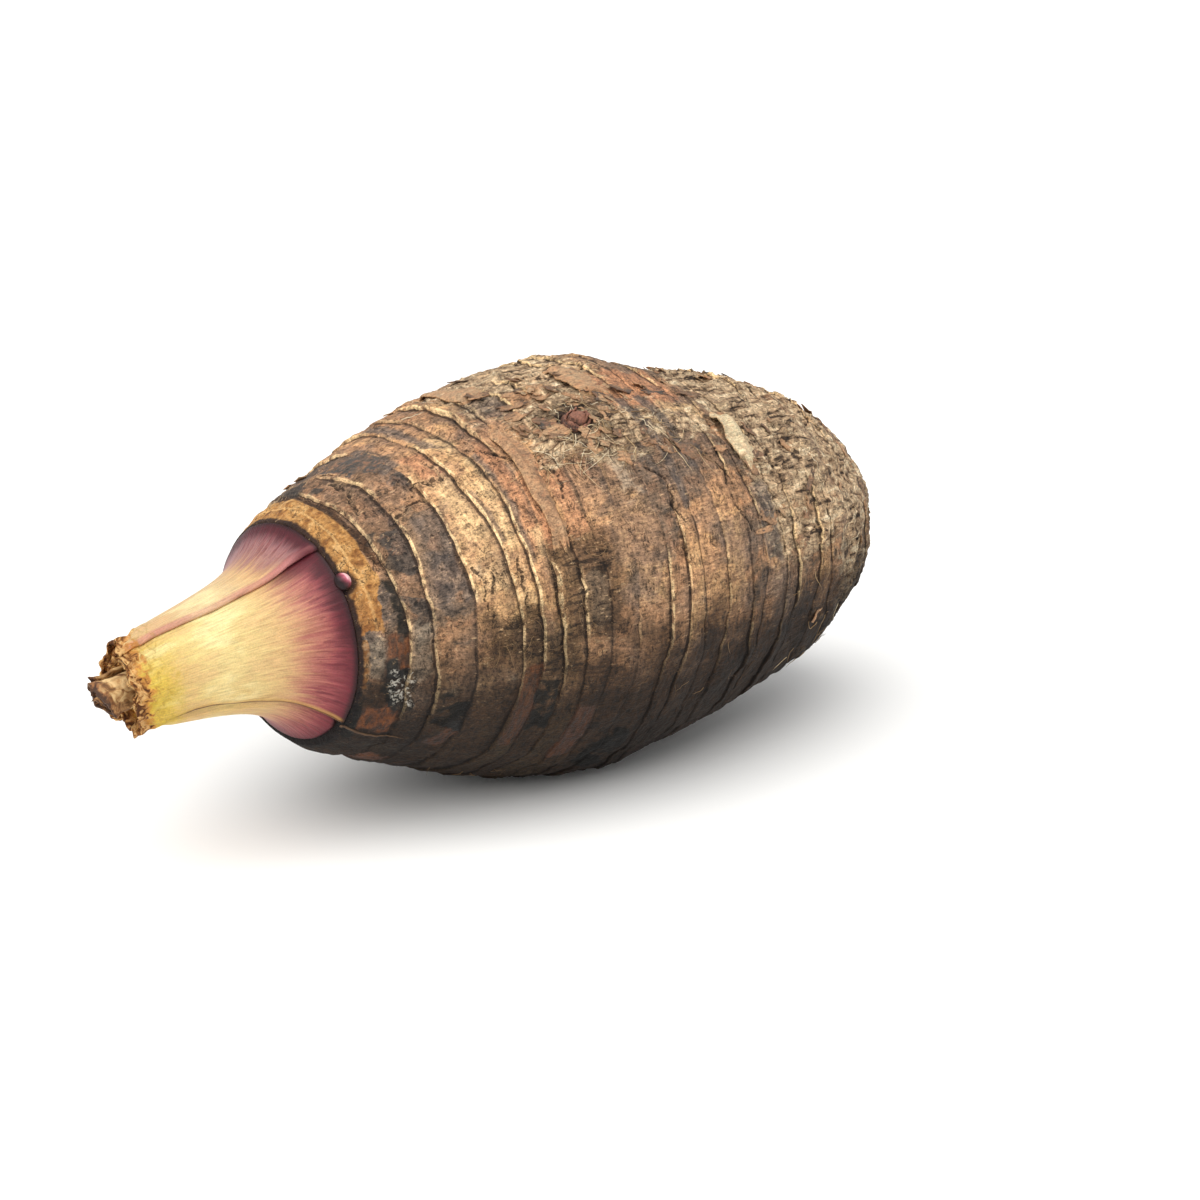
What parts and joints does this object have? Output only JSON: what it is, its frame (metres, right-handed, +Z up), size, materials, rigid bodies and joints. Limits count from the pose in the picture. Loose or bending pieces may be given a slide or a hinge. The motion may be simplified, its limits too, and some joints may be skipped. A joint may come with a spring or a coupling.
{
  "type": "taro root",
  "caption": "Whole taro root lying on its side: a ringed brown corm with dry husk scales and buds, and the pink and yellow cut bases of its leaf stalks.",
  "frame": {"origin": "on the surface that the root lies on, under the middle of its bounding box", "axes": "+X runs along the root from the cut leaf stalks to the tail, +Z is up, and -Y is the side with the pink crown bud"},
  "size_m": [0.2872, 0.1246, 0.1236],
  "materials": {
    "corm_skin": "dry fibrous bark, matt, with pale leaf scars",
    "leaf_base": "fresh smooth stalk, satin, yellow turning dusky pink at the crown",
    "dried_stalk": "dried torn plant edge, matt",
    "pink_bud": "fresh bud, slightly glossy",
    "brown_bud": "dry scaly bud, matt",
    "husk": "papery dry husk, matt"
  },
  "bodies": {
    "root": {"corm": "corm_skin", "leaf_base_inner": "leaf_base", "leaf_base_front": "leaf_base", "leaf_base_upper": "leaf_base", "heart_stalk": "dried_stalk", "crown_bud": "pink_bud", "side_bud": "brown_bud", "husk_scale_side": "husk", "husk_scale_crown": "husk", "husk_scale_ridge": "husk", "husk_scale_top": "husk", "husk_scale_tail": "husk", "husk_scale_back": "husk"}
  },
  "joints": []
}
